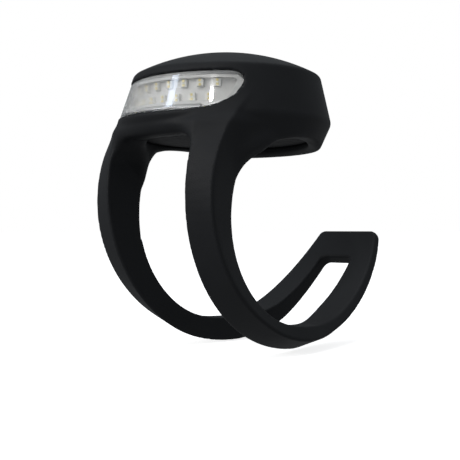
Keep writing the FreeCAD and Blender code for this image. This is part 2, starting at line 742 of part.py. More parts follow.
# Ribbon from the main board over the deck's edge down to the light strip
ribbon_out = "(%s + strip_wall - fit)" % HOUSING_OUT
ribbon_in = "(board_radius - ribbon_wide / 3)"
ribbon_flat = block("ribbon_flat", "%s - %s" % (ribbon_out, ribbon_in), "ribbon_wide", "ribbon_wall",
                    x="head_x - (%s + %s) / 2" % (ribbon_out, ribbon_in),
                    z="%s - ribbon_wall" % DECK_TOP)
ribbon_drop = block("ribbon_drop", "ribbon_wall", "ribbon_wide",
                    "%s - window_high + strip_inset" % DECK_TOP,
                    x="head_x - %s + ribbon_wall / 2" % ribbon_out, z="window_high - strip_inset")
ribbon = fuse("ribbon_link", [ribbon_flat, ribbon_drop])
ribbon_pocket = block("ribbon_pocket", "3 * strip_wall + run", "ribbon_wide + 2 * run",
                      "%s - window_high + strip_inset + 3 * run" % DECK_TOP,
                      x="head_x - %s + 1.5 * strip_wall" % ribbon_out,
                      z="window_high - strip_inset - 2 * run")

# Silicone body
cavity_low = cylinder("cavity_low", "%s + fit" % CUFF_OUT, "%s + fit - %s" % (CUFF_TOP, HOUSING_LOW),
                      z=HOUSING_LOW)
cavity_mid = cylinder("cavity_mid", "%s + fit" % HOUSING_OUT,
                      "%s - housing_wall - %s" % (DECK_TOP, HOUSING_LOW), z=HOUSING_LOW)
cavity_rim = "(%s + fit)" % HOUSING_OUT
cavity_dome = turned("cavity_dome", [
    ("0", "%s - housing_wall" % DECK_TOP),
    (cavity_rim, "%s - housing_wall" % DECK_TOP),
    (cavity_rim, under_dome(cavity_rim, "skin")),
    (MIDWAY, under_dome(MIDWAY, "skin")),
    ("button_radius", under_dome("button_radius", "skin")),
    ("0", under_dome("0", "skin"))])
mouth_hole = cylinder("mouth_hole", "%s + 2 * run" % MOUTH, HOUSING_LOW,
                      z="0.5 * base_z")
head_and_band = fuse("head_and_band", [head_top, head_foot, band])
silicone_body = carve("soft_body", head_and_band, [
    slot, slot_front] + tip_corners() + [
    saddle_cut, cavity_low, cavity_mid, cavity_dome, mouth_hole, window_room, ribbon_pocket])

PARTS = {
    "silicone_body": silicone_body,
    "lens": lens,
    "lens_gasket": lens_gasket,
    "reflector_tray": reflector_tray,
    "led_strip": led_strip,
    "leds": leds,
    "led_phosphors": phosphor_dots,
    "ribbon_link": ribbon,
    "module_housing": module_housing,
    "module_lid": module_lid,
    "main_board": main_board,
    "board_screws": board_screws,
    "driver_chip": driver_chip,
    "resistors": resistors,
    "capacitors": capacitors,
    "switch_body": switch_body,
    "switch_plunger": switch_plunger,
    "push_button": push_button,
    "positive_contact": positive_contact,
    "negative_contact": negative_contact,
    "cell_upper": cell_upper,
    "cell_lower": cell_lower,
    "cell_cushion": cell_cushion,
    "battery_cover": battery_cover,
    "cover_seal": cover_seal,
}

for label, piece in PARTS.items():
    piece.Label = label
doc.recompute()

faults = [o.Name for o in doc.Objects if "Invalid" in o.State or "Error" in o.State]
for label, piece in PARTS.items():
    if piece.Shape.isNull() or not piece.Shape.isValid() or not piece.Shape.Solids:
        faults.append(label)
if faults:
    raise RuntimeError("pieces that failed: " + ", ".join(faults))

os.makedirs("parts", exist_ok=True)
for label, piece in PARTS.items():
    piece.Shape.exportStep(os.path.join("parts", label + ".step"))
    print("%-18s %d solid(s) %10.2f mm3" % (label, len(piece.Shape.Solids), piece.Shape.Volume))
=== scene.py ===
import math

import bpy
import numpy as np
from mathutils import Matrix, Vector

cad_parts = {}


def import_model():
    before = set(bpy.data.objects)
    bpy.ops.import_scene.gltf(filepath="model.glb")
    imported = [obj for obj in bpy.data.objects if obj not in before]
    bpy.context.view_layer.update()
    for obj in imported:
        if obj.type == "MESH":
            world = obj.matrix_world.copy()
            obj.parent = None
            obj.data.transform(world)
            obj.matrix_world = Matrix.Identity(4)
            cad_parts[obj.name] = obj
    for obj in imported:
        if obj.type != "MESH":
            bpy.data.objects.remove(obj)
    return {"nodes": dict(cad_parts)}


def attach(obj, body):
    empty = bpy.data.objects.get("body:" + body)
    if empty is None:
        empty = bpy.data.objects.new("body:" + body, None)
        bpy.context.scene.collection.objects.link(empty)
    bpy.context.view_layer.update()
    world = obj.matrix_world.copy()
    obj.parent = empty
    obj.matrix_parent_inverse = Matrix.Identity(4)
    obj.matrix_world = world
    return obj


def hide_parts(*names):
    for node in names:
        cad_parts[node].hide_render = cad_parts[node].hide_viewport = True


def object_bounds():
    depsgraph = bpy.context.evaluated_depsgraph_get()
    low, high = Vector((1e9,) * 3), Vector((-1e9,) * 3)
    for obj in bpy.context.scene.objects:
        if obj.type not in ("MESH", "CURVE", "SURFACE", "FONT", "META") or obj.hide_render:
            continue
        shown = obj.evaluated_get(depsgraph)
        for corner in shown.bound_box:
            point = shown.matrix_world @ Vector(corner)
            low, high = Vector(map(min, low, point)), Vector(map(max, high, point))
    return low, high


# Looks of a strap-on silicone bike light, on the frame of its CAD model
# Shapes below are worked out in millimetres in the row frame and made in metres

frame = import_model()
cad_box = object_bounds()
nodes = frame["nodes"]
MM = 0.001

# Head: the heights and radii of its foot, waist and rim, its crest, and the saddle under it
HEAD_X = -5.06
BASE_Z, BASE_R = 9.1, 12.65
WAIST_Z, WAIST_R = 12.4, 14.15
RIM_Z, RIM_R = 18.6, 12.45
CREST_Z = 21.75
FORWARD = 0.5
FLARE = (WAIST_R - BASE_R) / (WAIST_Z - BASE_Z)
LEAN = (WAIST_R - RIM_R) / (RIM_Z - WAIST_Z)
DOME_R = (RIM_R ** 2 + (CREST_Z - RIM_Z) ** 2) / (2 * (CREST_Z - RIM_Z))
SADDLE_X, SADDLE_Z, SADDLE_R = -3.2, -11.0, 21.0
WAIST_ROUND, RIM_ROUND, FOOT_ROUND, SADDLE_ROUND = 0.3, 0.25, 0.4, 0.6

# Hollow of the head: the module's room, the cuff round its foot, and the mouth for the cover
SKIN = 0.8
HOUSING_R, HOUSING_LOW = 11.15, 10.45
CUFF_R, CUFF_TOP = 11.65, 12.75
MOUTH_R, MOUTH_LAP, MOUTH_FOOT = 10.8, 0.05, -2.0

# Lens and the opening in the silicone that it looks out of
LENS_INSET, LENS_WALL, LENS_FIT = 0.12, 0.7, 0.05
LENS_EDGE, LENS_END = 0.1, 0.3
WINDOW = dict(half=10.55, low=12.75, high=17.55, low_corner=2.4, high_corner=1.5)
WINDOW_RISE, RISE_FROM = 0.6, 6.0
WINDOW_EDGE, LEAST_CORNER = 0.15, 0.2

# Strap: the ring runs from its roots in the head to its lowest point, and the tail on to the tip
BORE = 14.0
BACK_R, BACK_X, BACK_Z = 20.6, 1.35, 3.2
RING_FROM, RING_TO, RING_ROWS = 128.0, 270.0, 150
TAIL_LONG, TAIL_ROWS, EASE_ROWS = 26.5, 90, 16
TAIL_POINTS = [(0.0, -BORE), (8.2, -15.6), (17.4, -8.0), (21.3, -1.6)]
SLOT_HALF = 7.75
CREASE_HALF, FLANK = 11.15, 1.2
TAIL_HALF, TIP_HALF, TIP_FLANK = 9.9, 5.55, 0.36
ROOT_EDGE, RING_EDGE = 5.0, 1.75
TAIL_CORE, TIP_CORE = 2.4, 1.7
TAIL_EDGE, TIP_EDGE = 1.15, 0.9
TIP_CORNER, TIP_BAR = 1.2, 4.95
STRAP_ROUND, TIP_ROUND, SLOT_ROUND = 0.25, 0.3, 1.0

# The ring thickens and widens towards its roots. Places are degrees round its axis, WIDEN is in mm
THICKEN_FROM, THICKEN_TO = 244.0, 146.0
WIDEN, WIDEN_FROM, WIDEN_SPAN = 0.25, 165.0, 32.0

# How much half the slot draws in, between which places past the ring's end, and its taper after that
RING_DRAW, RING_DRAWN = 1.25, (-36.0, -4.0)
TAIL_DRAW, TAIL_DRAWN, TAIL_TAPER = 1.9, (-1.0, 11.0), 0.083

# Shares of the tail after which its core and its edge have their own thickness
CORE_SETTLED, EDGE_SETTLED = 0.7, 0.25

# Fillet widths between head and arms, and the places from which and to which they change
ARM_FILLET, LENS_FILLET, LENS_FILLET_Z = 2.6, 0.5, (11.0, 12.6)
GAP_FILLET, ROOT_FILLET, ROOT_SIDE = 6.0, 2.5, (SLOT_HALF, SLOT_HALF + 2.5)
ROOT_REACH, ROOT_FRONT = (16.5, BORE), (-7.5, -10.5)
ROOT_TOP, ROOT_FOOT = (11.0, 9.0), (1.5, 5.5)

# Arch between the arms' roots, under the lens, and the roundings of the arch and of the hollow
ARCH = dict(low=-7.0, high=10.0, low_corner=0.2, high_corner=3.0)
ARCH_REAR = -7.0
ARCH_ROUND, ARCH_ROUND_Z = (0.3, 1.3), (7.0, 9.5)
HOLLOW_ROUND, HOLLOW_ROUND_Z = (0.3, 1.2), (9.9, 9.3)

# Boxes that the meshes are made in, and the size of their cells
BODY_BOX = (-20.6, -14.8, -18.0), (24.0, 14.8, 22.6)
LENS_BOX = (-20.2, -11.4, 12.2), (-4.5, 11.4, 18.2)
BODY_CELL = 0.25
LENS_CELL = 0.12

# Meshing: rounds of settling, the least slope and move to divide by, a far distance, points at a time
SETTLE_ROUNDS = 4
LEAST_SLOPE, LEAST_MOVE = 0.25, 1e-9
FAR_OFF = 50.0
BATCH = 20000


# Shaping with fields: a field is below zero inside a shape and is about its distance in mm

def between(a, b, u):
    """From a to b as u goes from 0 to 1."""
    return a + (b - a) * u


def ease(u):
    """Nought to one with a gentle start and end, as u goes from 0 to 1."""
    u = np.clip(u, 0.0, 1.0)
    return u * u * (3 - 2 * u)


def ramp(value, start, end):
    """Nought where value is at start or before it, and one where it is at end or past it."""
    return ease((value - start) / (end - start))


def both(a, b, k=0.01):
    """What two shapes share, with the edge between them rounded over a width k that may vary."""
    near = np.maximum(k - np.abs(a - b), 0.0) / k
    return np.maximum(a, b) + near * near * k / 4


def fillet(a, b, k):
    """Two shapes joined with a fillet whose width k may vary from place to place."""
    near = np.maximum(k - np.abs(a - b), 0.0) / k
    return np.minimum(a, b) - near * near * k / 4


def rounded_rectangle(u, v, half, low, high, low_corner, high_corner):
    """A rectangle from -half to half and from low to high. Its corners may differ at its two ends."""
    middle = (low + high) / 2
    corner = np.where(v > middle, high_corner, low_corner)
    across = np.abs(u) - (half - corner)
    up = np.abs(v - middle) - ((high - low) / 2 - corner)
    outside = np.hypot(np.maximum(across, 0), np.maximum(up, 0))
    return outside + np.minimum(np.maximum(across, up), 0) - corner


def mesh_piece(name, points, faces):
    mesh = bpy.data.meshes.new(name)
    mesh.from_pydata([tuple(p) for p in points], [], [tuple(int(i) for i in f) for f in faces])
    mesh.update()
    mesh.polygons.foreach_set("use_smooth", [True] * len(mesh.polygons))
    piece = bpy.data.objects.new(name, mesh)
    bpy.context.scene.collection.objects.link(piece)
    return piece


def surface(name, field, box, cell):
    """Mesh of a field's surface: one point for each small cell that it crosses, then settled on it."""
    low, high = box
    axes = [np.arange(a, b + cell, cell) for a, b in zip(low, high)]
    grid = field(axes[0][:, None, None], axes[1][None, :, None], axes[2][None, None, :])
    inside = grid < 0
    quads, spots = [], []
    for axis in range(3):
        first = [slice(None)] * 3
        second = [slice(None)] * 3
        first[axis], second[axis] = slice(0, -1), slice(1, None)
        edge = np.argwhere(inside[tuple(first)] != inside[tuple(second)])
        u, v = [c for c in range(3) if c != axis]
        edge = edge[(edge[:, u] > 0) & (edge[:, v] > 0)]
        end = edge.copy()
        end[:, axis] += 1
        a, b = grid[tuple(edge.T)], grid[tuple(end.T)]
        spot = edge.astype(float)
        spot[:, axis] += a / (a - b)
        ring = []
        for du, dv in ((0, 0), (1, 0), (1, 1), (0, 1)):
            corner_cell = edge.copy()
            corner_cell[:, u] -= du
            corner_cell[:, v] -= dv
            ring.append(np.ravel_multi_index(corner_cell.T, grid.shape))
        ring = np.stack(ring, 1)
        turn = (a > 0) != (axis == 1)
        ring[turn] = ring[turn][:, ::-1]
        quads.append(ring)
        spots.append(spot)
    quads, spots = np.concatenate(quads), np.concatenate(spots)
    cells, corner = np.unique(quads.ravel(), return_inverse=True)
    corner = corner.reshape(quads.shape)
    count = np.bincount(corner.ravel(), minlength=len(cells))
    points = np.stack([
        np.bincount(corner.ravel(), np.repeat(spots[:, c], 4), len(cells)) / count for c in range(3)], 1)
    points = np.array(low) + cell * points
    nudge = cell / 5
    for _ in range(SETTLE_ROUNDS):
        here = field(*points.T)
        slope = np.stack([
            (field(*(points + nudge * e).T) - field(*(points - nudge * e).T)) / (2 * nudge)
            for e in np.eye(3)], 1)
        steep = np.maximum((slope ** 2).sum(1), LEAST_SLOPE)
        move = -(here / steep)[:, None] * slope
        size = np.linalg.norm(move, axis=1, keepdims=True)
        points += move * np.minimum(1, cell / 2 / np.maximum(size, LEAST_MOVE))
    return mesh_piece(name, points * MM, corner)


# Strap: section sizes along the path of its inner face

def circle_reach(angle, radius, x, z):
    """Distance from the origin to a circle, in the direction of each angle."""
    along = x * np.cos(angle) + z * np.sin(angle)
    return along + np.sqrt(radius ** 2 - x ** 2 - z ** 2 + along ** 2)


def soften(rows, join, reach):
    """The path's columns with their turn at one row spread over the rows on each side of it."""
    padded = np.pad(rows, ((reach, reach), (0, 0)), mode="edge")
    weights = np.hanning(2 * reach + 3)[1:-1]
    mean = np.stack([np.convolve(c, weights / weights.sum(), "valid") for c in padded.T], 1)
    near = 1 - ease(np.abs(np.arange(len(rows)) - join) / (2.0 * reach))[:, None]
    rows = rows + (mean - rows) * near
    rows[:, 2:4] /= np.linalg.norm(rows[:, 2:4], axis=1, keepdims=True)
    return rows


def slot_half(length):
    """Half the gap between the arms, by the length past the ring: the arms widen on the way down."""
    ring_draw = RING_DRAW * ramp(length, *RING_DRAWN)
    tail_draw = TAIL_DRAW * ramp(length, *TAIL_DRAWN) + TAIL_TAPER * np.maximum(length, 0.0)
    return SLOT_HALF - ring_draw - tail_draw


def ring_rows():
    """The ring's rows: its back is a wider circle, and it thickens and widens towards its roots."""
    degrees = np.linspace(RING_FROM, RING_TO, RING_ROWS)
    angle = np.radians(degrees)
    core = circle_reach(angle, BACK_R, BACK_X, BACK_Z) - BORE
    edge = between(RING_EDGE, ROOT_EDGE, ramp(degrees, THICKEN_FROM, THICKEN_TO))
    crease = CREASE_HALF + WIDEN * np.maximum(0.0, (WIDEN_FROM - degrees) / WIDEN_SPAN)
    return np.stack([
        BORE * np.cos(angle), BORE * np.sin(angle), np.cos(angle), np.sin(angle),
        crease - FLANK, crease, slot_half(BORE * (angle - angle[-1])), core, edge], 1)


def tail_rows(core_start):
    """The tail's rows: a cubic curve, drawn in and thinned down to the tip."""
    u = np.linspace(0.0, 1.0, TAIL_ROWS + 1)[1:]
    weights = np.stack([(1 - u) ** 3, 3 * u * (1 - u) ** 2, 3 * u * u * (1 - u), u ** 3], 1)
    slopes = np.stack([-(1 - u) ** 2, (1 - u) ** 2 - 2 * u * (1 - u), 2 * u * (1 - u) - u * u, u * u], 1)
    place, along = weights @ np.array(TAIL_POINTS), slopes @ np.array(TAIL_POINTS)
    along /= np.linalg.norm(along, axis=1, keepdims=True)
    crease = between(TAIL_HALF, TIP_HALF, u ** 2) + (CREASE_HALF - TAIL_HALF) * (1 - u) ** 6
    inner = crease - between(FLANK, TIP_FLANK, u)
    core = between(core_start, between(TAIL_CORE, TIP_CORE, u), ramp(u, 0.0, CORE_SETTLED))
    edge = between(RING_EDGE, between(TAIL_EDGE, TIP_EDGE, u), ramp(u, 0.0, EDGE_SETTLED))
    return np.stack([
        place[:, 0], place[:, 1], along[:, 1], -along[:, 0],
        inner, crease, slot_half(TAIL_LONG * u), core, edge], 1)


def strap_path():
    """The path's rows, from the ring's roots to the tip.

    The columns are the place's x and z, the outward direction's x and z, the half widths of the inner
    face, of the crease and of the slot, the thickness at the slot and at the crease, and the length so far.
    """
    ring = ring_rows()
    rows = soften(np.concatenate([ring, tail_rows(ring[-1, 7])]), len(ring), EASE_ROWS)
    steps = np.hypot(*np.diff(rows[:, :2], axis=0).T)
    return np.column_stack([rows, np.concatenate([[0.0], np.cumsum(steps)])])


PATH = strap_path()
PITCH = np.gradient(PATH[:, 9])
LAST_PITCH = PATH[-1, 9] - PATH[-2, 9]
SLOT_FROM = RING_ROWS * (180.0 - RING_FROM) / (RING_TO - RING_FROM)
SLOT_END = PATH[-1, 9] - TIP_BAR


def along_path(x, z):
    """For each x, z: the path's columns nearest to it, its height there, the overshoot and the row."""
    shape = np.broadcast(x, z).shape
    x, z = (np.broadcast_to(c, shape).ravel() for c in (x, z))
    at = np.empty(x.size)
    for i in range(0, x.size, BATCH):
        part = slice(i, i + BATCH)
        apart = (x[part, None] - PATH[:, 0]) ** 2 + (z[part, None] - PATH[:, 1]) ** 2
        near = apart.argmin(1)
        row = PATH[near]
        past = (x[part] - row[:, 0]) * -row[:, 3] + (z[part] - row[:, 1]) * row[:, 2]
        at[part] = near + past / PITCH[near]
    index = np.arange(len(PATH))
    columns = [np.interp(at, index, column) for column in PATH.T]
    over = np.maximum(at - index[-1], -at) * LAST_PITCH
    columns[9] = columns[9] + np.maximum(at - index[-1], 0) * LAST_PITCH
    columns = [c.reshape(shape) for c in columns]
    rise_x, rise_z = x.reshape(shape) - columns[0], z.reshape(shape) - columns[1]
    height = rise_x * columns[2] + rise_z * columns[3]
    return columns, height, over.reshape(shape), at.reshape(shape)


def strap_field(x, y, z):
    """Fields of the strap and of the gap between its arms, and half the gap's width."""
    if np.ndim(x) == 3:
        columns, up, over, at = along_path(x[:, 0, 0][:, None], z[0, 0, :][None, :])
        columns = [c[:, None, :] for c in columns]
        up, over, at = (c[:, None, :] for c in (up, over, at))
    else:
        columns, up, over, at = along_path(x, z)
    inner, crease, slot, core, edge, length = columns[4:]
    side = np.abs(y)
    long = np.hypot(crease - inner, edge)
    flank = ((side - inner) * edge - up * (crease - inner)) / long
    long = np.hypot(crease - slot, core - edge)
    top = ((side - crease) * (core - edge) + (up - edge) * (crease - slot)) / long
    band = np.maximum(both(both(flank, top, STRAP_ROUND), -up, STRAP_ROUND), up - core)
    across, beyond = side - (crease - TIP_CORNER), over + TIP_CORNER
    end = np.hypot(np.maximum(across, 0), np.maximum(beyond, 0)) + np.minimum(np.maximum(across, beyond), 0)
    band = both(band, end - TIP_CORNER, TIP_ROUND)
    gap = both(side - slot, length - SLOT_END, SLOT_ROUND)
    return band, np.where(at < SLOT_FROM, FAR_OFF, gap), slot


# Head and the whole soft body

def head_round(x, y):
    """Distance from the head's axis."""
    return np.hypot(x - HEAD_X, y)


def side_wall(x, y, z, inset=0.0):
    """Distance outside the head's leaning side wall, drawn in by inset. Its foot sits a little forward."""
    forward = FORWARD * (RIM_Z - z) / (RIM_Z - WAIST_Z)
    return (head_round(x + forward, y) - (WAIST_R - inset - LEAN * (z - WAIST_Z))) / math.hypot(1, LEAN)


def foot_wall(x, y, z):
    """Distance outside the head's lower wall, which flares from its base up to its waist."""
    return (head_round(x + FORWARD, y) - (BASE_R + FLARE * (z - BASE_Z))) / math.hypot(1, FLARE)


def dome(x, y, z, inset=0.0):
    """The ball that the head's domed top is part of."""
    return np.hypot(head_round(x, y), z - (CREST_Z - DOME_R)) - (DOME_R - inset)


def window(y, z, inset=0.0):
    """The lens opening seen from the front. Its lower edge rises a little towards its two ends."""
    end = ramp(np.abs(y), RISE_FROM, WINDOW["half"])
    fall = np.clip((WINDOW["high"] - z) / (WINDOW["high"] - WINDOW["low"]), 0.0, 1.0)
    return rounded_rectangle(
        y, z - WINDOW_RISE * end * fall, WINDOW["half"] - inset,
        WINDOW["low"] + inset, WINDOW["high"] - inset,
        max(WINDOW["low_corner"] - inset, LEAST_CORNER), max(WINDOW["high_corner"] - inset, LEAST_CORNER))


def root_fillet(x, y, z):
    """Width of the fillet between head and arms: widest inside the arms' roots, narrow by the lens."""
    plain = between(ARM_FILLET, LENS_FILLET, ramp(z, *LENS_FILLET_Z))
    root = ramp(np.hypot(x, z), *ROOT_REACH) * ramp(x, *ROOT_FRONT)
    root = root * ramp(z, *ROOT_TOP) * ramp(z, *ROOT_FOOT)
    return plain + root * between(GAP_FILLET, ROOT_FILLET, ramp(np.abs(y), *ROOT_SIDE))


def hollow(x, y, z):
    """The mouth for the cover, the cuff round the module's foot, and the module's room."""
    radius = head_round(x, y)
    mouth = np.maximum(radius - MOUTH_R, np.maximum(z - HOUSING_LOW - MOUTH_LAP, MOUTH_FOOT - z))
    cuff = np.maximum(radius - CUFF_R, np.maximum(z - CUFF_TOP, HOUSING_LOW - z))
    room = np.maximum(np.maximum(radius - HOUSING_R, HOUSING_LOW - z), dome(x, y, z, SKIN))
    return np.minimum(np.minimum(mouth, cuff), room)


def body_field(x, y, z):
    """The silicone moulding: head and strap, less the arch, the slot, the hollow and the lens opening."""
    head = both(side_wall(x, y, z), foot_wall(x, y, z), WAIST_ROUND)
    head = both(head, dome(x, y, z), RIM_ROUND)
    head = both(head, BASE_Z - z, FOOT_ROUND)
    saddle = np.hypot(x - SADDLE_X, z - SADDLE_Z) - SADDLE_R
    head = both(head, -saddle, SADDLE_ROUND)
    band, gap, slot = strap_field(x, y, z)
    whole = fillet(head, band, root_fillet(x, y, z))
    arch = np.maximum(rounded_rectangle(y, z, slot, **ARCH), x - ARCH_REAR)
    whole = both(whole, -np.minimum(arch, gap), between(*ARCH_ROUND, ramp(z, *ARCH_ROUND_Z)))
    whole = both(whole, -hollow(x, y, z), between(*HOLLOW_ROUND, ramp(z, *HOLLOW_ROUND_Z)))
    opening = np.maximum(window(y, z), x - HEAD_X)
    return both(whole, -opening, WINDOW_EDGE)


def lens_field(x, y, z):
    """The lens: a shell just inside the head's side wall, cut to the opening less its fit."""
    shell = both(side_wall(x, y, z, LENS_INSET), -side_wall(x, y, z, LENS_INSET + LENS_WALL), LENS_EDGE)
    return both(both(shell, window(y, z, LENS_FIT), LENS_END), x - HEAD_X)


silicone = surface("silicone_moulding", body_field, BODY_BOX, BODY_CELL)
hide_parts("silicone_body")
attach(silicone, "body")

clear = surface("lens_moulding", lens_field, LENS_BOX, LENS_CELL)
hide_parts("lens")
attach(clear, "body")


# Materials

MOTTLE_LOW, MOTTLE_HIGH = 0.3, 0.7


def grain_group():
    """Node group: a height for bumps and a slow mottle for colour, from the place on the object."""
    group = bpy.data.node_groups.new("moulded_grain", "ShaderNodeTree")
    for name in ("Scale", "Fine Scale", "Fine Share"):
        group.interface.new_socket(name=name, in_out="INPUT", socket_type="NodeSocketFloat")
    for name in ("Height", "Mottle"):
        group.interface.new_socket(name=name, in_out="OUTPUT", socket_type="NodeSocketFloat")
    given = group.nodes.new("NodeGroupInput")
    place = group.nodes.new("ShaderNodeTexCoord")
    slow = group.nodes.new("ShaderNodeTexNoise")
    slow.inputs["Detail"].default_value = 6.0
    fine = group.nodes.new("ShaderNodeTexNoise")
    fine.inputs["Detail"].default_value = 3.0
    height = group.nodes.new("ShaderNodeMath")
    height.operation = "MULTIPLY_ADD"
    out = group.nodes.new("NodeGroupOutput")
    link = group.links.new
    link(place.outputs["Object"], slow.inputs["Vector"])
    link(place.outputs["Object"], fine.inputs["Vector"])
    link(given.outputs["Scale"], slow.inputs["Scale"])
    link(given.outputs["Fine Scale"], fine.inputs["Scale"])
    link(fine.outputs["Fac"], height.inputs[0])
    link(given.outputs["Fine Share"], height.inputs[1])
    link(slow.outputs["Fac"], height.inputs[2])
    link(height.outputs[0], out.inputs["Height"])
    link(slow.outputs["Fac"], out.inputs["Mottle"])
    return group


GRAIN = grain_group()


def material(name, dark, light, rough, grain=(300.0, 4000.0, 0.5), bump=0.1, depth=0.00005, rough_span=0.08,
             **sockets):
    """A procedural material: a mottled colour, a varied roughness and a fine bump."""
    made = bpy.data.materials.new(name)
    made.use_nodes = True
    tree = made.node_tree
    shader = tree.nodes["Principled BSDF"]
    source = tree.nodes.new("ShaderNodeGroup")
    source.node_tree = GRAIN
    for socket, number in zip(("Scale", "Fine Scale", "Fine Share"), grain):
        source.inputs[socket].default_value = number
    tint = tree.nodes.new("ShaderNodeValToRGB")
    tint.color_ramp.elements[0].position = MOTTLE_LOW
    tint.color_ramp.elements[1].position = MOTTLE_HIGH
    tint.color_ramp.elements[0].color = (*dark, 1)
    tint.color_ramp.elements[1].color = (*light, 1)
    spread = tree.nodes.new("ShaderNodeMapRange")
    spread.inputs["From Min"].default_value = MOTTLE_LOW
    spread.inputs["From Max"].default_value = MOTTLE_HIGH
    spread.inputs["To Min"].default_value = rough - rough_span
    spread.inputs["To Max"].default_value = rough + rough_span
    raised = tree.nodes.new("ShaderNodeBump")
    raised.inputs["Strength"].default_value = bump
    raised.inputs["Distance"].default_value = depth
    link = tree.links.new
    link(source.outputs["Mottle"], tint.inputs["Fac"])
    link(source.outputs["Mottle"], spread.inputs["Value"])
    link(source.outputs["Height"], raised.inputs["Height"])
    link(tint.outputs["Color"], shader.inputs["Base Color"])
    link(spread.outputs["Result"], shader.inputs["Roughness"])
    link(raised.outputs["Normal"], shader.inputs["Normal"])
    for socket, number in sockets.items():
        shader.inputs[socket.replace("_", " ")].default_value = number
    return made


def dress(piece, look):
    piece.data.materials.clear()
    piece.data.materials.append(look)


def clear_look():
    """Clear plastic that lets the light inside through, so that what is behind it stays bright."""
    made = bpy.data.materials.new("lens_clear_plastic")
    made.use_nodes = True
    tree = made.node_tree
    out = tree.nodes["Material Output"]
    shader = tree.nodes["Principled BSDF"]
    shader.inputs["Base Color"].default_value = (0.96, 0.97, 0.97, 1)
    shader.inputs["Roughness"].default_value = 0.18
    shader.inputs["IOR"].default_value = 1.49
    shader.inputs["Specular Tint"].default_value = (0.05, 0.05, 0.05, 1)
    shader.inputs["Transmission Weight"].default_value = 1.0
    shader.inputs["Coat Weight"].default_value = 1.0
    shader.inputs["Coat Roughness"].default_value = 0.03
    place = tree.nodes.new("ShaderNodeTexCoord")
    upright = tree.nodes.new("ShaderNodeMapping")
    upright.inputs["Scale"].default_value = (1.0, 1.0, 0.25)
    noise = tree.nodes.new("ShaderNodeTexNoise")
    noise.inputs["Scale"].default_value = 500.0
    bump = tree.nodes.new("ShaderNodeBump")
    bump.inputs["Strength"].default_value = 0.04
    bump.inputs["Distance"].default_value = 0.0002
    path = tree.nodes.new("ShaderNodeLightPath")
    shade = tree.nodes.new("ShaderNodeMath")
    shade.operation = "MAXIMUM"
    through = tree.nodes.new("ShaderNodeBsdfTransparent")
    mix = tree.nodes.new("ShaderNodeMixShader")
    link = tree.links.new
    link(place.outputs["Object"], upright.inputs["Vector"])
    link(upright.outputs["Vector"], noise.inputs["Vector"])
    link(noise.outputs["Fac"], bump.inputs["Height"])
    link(bump.outputs["Normal"], shader.inputs["Normal"])
    link(path.outputs["Is Shadow Ray"], shade.inputs[0])
    link(path.outputs["Is Diffuse Ray"], shade.inputs[1])
    link(shade.outputs[0], mix.inputs["Fac"])
    link(shader.outputs[0], mix.inputs[1])
    link(through.outputs[0], mix.inputs[2])
    link(mix.outputs[0], out.inputs["Surface"])
    return made


def paint_rim_shade(look, inner, outer, dark):
    """Painted shade: darken a look from one distance from the head's axis to another, both in mm, so that a
    rim in full light looks as dim as the shaded part within it.
    """
    tree = look.node_tree
    base = tree.nodes["Principled BSDF"].inputs["Base Color"]
    colour = base.links[0].from_socket
    place = tree.nodes.new("ShaderNodeTexCoord")
    flat = tree.nodes.new("ShaderNodeVectorMath")
    flat.operation = "MULTIPLY_ADD"
    flat.inputs[1].default_value = (1, 1, 0)
    flat.inputs[2].default_value = (-HEAD_X * MM, 0, 0)
    reach = tree.nodes.new("ShaderNodeVectorMath")
    reach.operation = "LENGTH"
    fall = tree.nodes.new("ShaderNodeMapRange")
    fall.inputs["From Min"].default_value = inner * MM
    fall.inputs["From Max"].default_value = outer * MM
    fall.inputs["To Min"].default_value = 1.0
    fall.inputs["To Max"].default_value = dark
    mix = tree.nodes.new("ShaderNodeVectorMath")
    mix.operation = "MULTIPLY"
    link = tree.links.new
    link(place.outputs["Object"], flat.inputs[0])
    link(flat.outputs[0], reach.inputs[0])
    link(reach.outputs["Value"], fall.inputs["Value"])
    link(colour, mix.inputs[0])
    link(fall.outputs["Result"], mix.inputs[1])
    link(mix.outputs[0], base)


rubber = material("silicone_black", (0.0125, 0.0134, 0.0154), (0.0155, 0.0165, 0.0189), 0.55,
                  (260.0, 5200.0, 0.6), 0.25, 0.00004, 0.05, Specular_IOR_Level=0.2)
silver = material("tray_silver", (0.90, 0.89, 0.87), (0.95, 0.94, 0.92), 0.42,
                  (900.0, 6000.0, 0.4), 0.2, 0.00006)
# Painted shade on the tray's rim, which sits in full light at the lens's edge: its colour falls to 0.72 of
# itself towards the outside
paint_rim_shade(silver, 11.2, 11.9, 0.72)
strip_white = material("strip_white", (0.88, 0.875, 0.86), (0.94, 0.935, 0.92), 0.5)
# The gasket's grey is painted shade: darker than its silver, so that the lit band it makes round the lens
# matches the shaded tray inside
gasket_painted_shade_grey = material("gasket_painted_shade_grey", (0.45, 0.45, 0.45), (0.55, 0.55, 0.55), 0.5)
black_plastic = material("plastic_black", (0.014, 0.0145, 0.016), (0.022, 0.0225, 0.025), 0.65,
                         (700.0, 7000.0, 0.8), 0.35, 0.00005, Specular_IOR_Level=0.15)
seal_black = material("seal_black", (0.02, 0.02, 0.02), (0.035, 0.035, 0.035), 0.55)
nickel = material("nickel", (0.55, 0.53, 0.48), (0.68, 0.66, 0.6), 0.28, Metallic=1.0)
steel = material("steel_bright", (0.5, 0.5, 0.5), (0.64, 0.64, 0.63), 0.3, Metallic=1.0)
green = material("solder_mask", (0.008, 0.07, 0.03), (0.014, 0.11, 0.045), 0.35)
epoxy = material("epoxy_black", (0.012, 0.012, 0.012), (0.022, 0.022, 0.022), 0.5)
tan = material("ceramic_tan", (0.34, 0.22, 0.12), (0.46, 0.32, 0.19), 0.5)
amber = material("polyimide", (0.35, 0.14, 0.02), (0.5, 0.22, 0.04), 0.3)
foam = material("foam_grey", (0.10, 0.10, 0.105), (0.17, 0.17, 0.18), 0.9,
                (1500.0, 9000.0, 1.0), 0.8, 0.0001)
